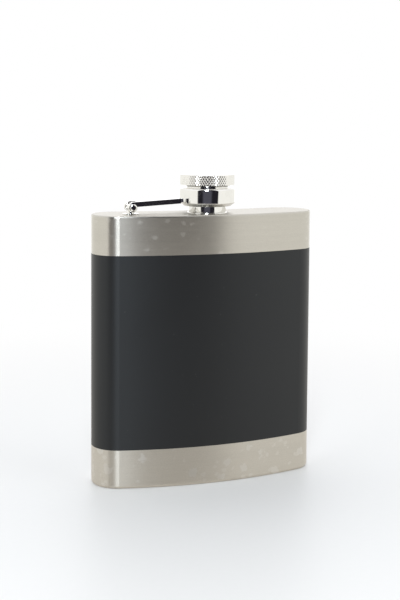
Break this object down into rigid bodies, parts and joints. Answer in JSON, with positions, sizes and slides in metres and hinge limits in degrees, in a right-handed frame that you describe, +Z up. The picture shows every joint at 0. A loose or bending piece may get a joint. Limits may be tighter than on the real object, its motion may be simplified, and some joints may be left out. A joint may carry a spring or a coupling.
{
  "type": "hip flask",
  "caption": "Curved steel hip flask with a black middle band and a knurled screw cap held on by a hinged arm.",
  "frame": {"origin": "centre of the resting face, on the neck's axis", "axes": "+Z up along the neck, +X along the width away from the hinge, -Y towards the convex front"},
  "size_m": [0.092, 0.0264, 0.1217],
  "materials": {
    "brushed_body": "brushed along the width",
    "black_wrap": "satin black",
    "polished_steel": "polished",
    "satin_ring": "satin",
    "seal_rubber": "matt silicone"
  },
  "bodies": {
    "flask": {"body_wall": "brushed_body", "top_plate": "brushed_body", "base_plate": "brushed_body", "black_band": "black_wrap", "neck": "polished_steel", "neck_weld": "polished_steel", "hinge_post": "polished_steel", "hinge_pin": "polished_steel"},
    "swing_arm": {"arm": "polished_steel", "collar": "polished_steel"},
    "lift_ring": {"slip_ring": "satin_ring"},
    "cap": {"cap_socket": "polished_steel", "cap_gasket": "seal_rubber", "cap_knob": "polished_steel", "retaining_ring": "satin_ring"}
  },
  "joints": [
    {"name": "arm_swing", "type": "hinge", "parent": "flask", "child": "swing_arm", "pos_m": [-0.0318, 0, 0.10925], "axis": [0, -1, 0], "range_deg": [0, 176]},
    {"name": "cap_rise", "type": "slide", "parent": "swing_arm", "child": "lift_ring", "axis": [0, 0, 1], "range_m": [0, 0.00226]},
    {"name": "cap_turn", "type": "hinge", "parent": "lift_ring", "child": "cap", "pos_m": [0, 0, 0.115], "axis": [0, 0, 1], "range_deg": [0, 540]}
  ],
  "couplings": [
    {"joint": "cap_rise", "follows": "cap_turn", "m_per_rad": 0.00023873}
  ]
}
